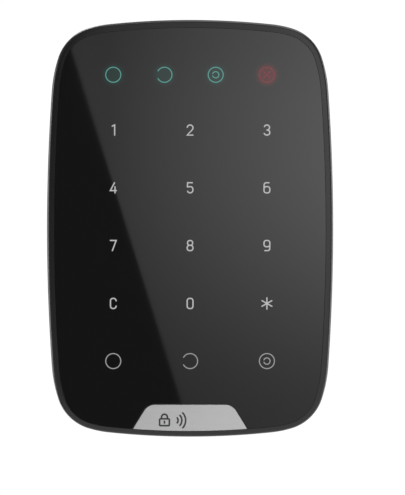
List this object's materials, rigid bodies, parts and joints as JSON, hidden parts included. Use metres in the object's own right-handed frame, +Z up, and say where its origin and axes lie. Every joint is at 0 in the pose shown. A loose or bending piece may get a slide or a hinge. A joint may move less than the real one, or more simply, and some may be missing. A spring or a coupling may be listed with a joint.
{
  "type": "alarm keypad",
  "caption": "Slim wall-mounted touch keypad: black glass front with lit digits and status icons in a satin black frame, battery-powered body hooked onto a wall bracket.",
  "frame": {"origin": "centre of the four wall-screw holes, in the bracket's back face (the wall plane)", "axes": "+Z up, +Y into the wall, so the glass faces -Y; +X to the right as seen by the user"},
  "size_m": [0.103, 0.014, 0.15],
  "materials": {
    "frame_plastic": "satin black ABS, fine moulded grain",
    "black_glass": "polished glass printed black behind",
    "plate_aluminium": "satin silver, finely brushed",
    "housing_plastic": "matt black ABS, spark-eroded grain",
    "bracket_plastic": "matt black ABS",
    "plated_steel": "zinc plated",
    "nickel_sheet": "nickel plated",
    "spring_wire": "nickel plated wire",
    "board_laminate": "green solder mask",
    "led_package": "white package, clear lens",
    "chip_resin": "black moulding resin",
    "tin_plate": "tinned",
    "connector_plastic": "natural nylon",
    "brass_disc": "rolled brass",
    "capacitor_can": "drawn aluminium",
    "plunger_plastic": "natural acetal",
    "button_plastic": "grey satin",
    "guide_acrylic": "clear acrylic sheet",
    "clear_film": "polyester film with printed electrodes",
    "foam_tape": "black adhesive tape",
    "cell_wrap": "printed plastic sleeve over a steel can",
    "legend_white": "pale print behind the glass, back-lit",
    "legend_teal": "teal print behind the glass, back-lit",
    "legend_red": "red print behind the glass, back-lit",
    "plate_mark": "dark print"
  },
  "bodies": {
    "bracket": {"wall_bracket": "bracket_plastic", "locking_screw": "plated_steel"},
    "panel": {"antenna": "tin_plate", "battery_1": "cell_wrap", "battery_2": "cell_wrap", "battery_3": "cell_wrap", "battery_4": "cell_wrap", "battery_plates": "nickel_sheet", "battery_springs": "spring_wire", "board_screws": "plated_steel", "buzzer": "chip_resin", "buzzer_disc": "brass_disc", "front_frame": "frame_plastic", "front_glass": "black_glass", "glass_tape": "foam_tape", "housing_screws": "plated_steel", "indicator_leds": "led_package", "key_leds": "led_package", "light_guide": "guide_acrylic", "main_board": "board_laminate", "name_plate": "plate_aluminium", "name_plate_tape": "foam_tape", "power_switch": "chip_resin", "processor": "chip_resin", "radio_chip": "chip_resin", "radio_shield": "tin_plate", "rear_housing": "housing_plastic", "smoothing_capacitors": "capacitor_can", "tail_connector": "connector_plastic", "tamper_spring": "spring_wire", "tamper_switch": "chip_resin", "touch_film": "clear_film"},
    "battery_door": {"battery_door": "housing_plastic"},
    "tamper_plunger": {"tamper_plunger": "plunger_plastic"},
    "power_button": {"power_button": "button_plastic"}
  },
  "joints": [
    {"name": "panel_lift", "type": "slide", "parent": "bracket", "child": "panel", "axis": [0, 0, 1], "range_m": [0, 0.006]},
    {"name": "battery_door_swing", "type": "hinge", "parent": "panel", "child": "battery_door", "pos_m": [0, -0.00095, 0.0193], "axis": [1, 0, 0], "range_deg": [0, 75]},
    {"name": "tamper_plunger_travel", "type": "slide", "parent": "panel", "child": "tamper_plunger", "axis": [0, -1, 0], "range_m": [0, 0.0006], "stiffness_N_per_m": 250, "springref_m": -0.0012, "deforming": ["tamper_spring"]},
    {"name": "power_button_press", "type": "slide", "parent": "panel", "child": "power_button", "axis": [0, -1, 0], "range_m": [0, 0.0005], "stiffness_N_per_m": 600, "springref_m": -0.0005}
  ]
}
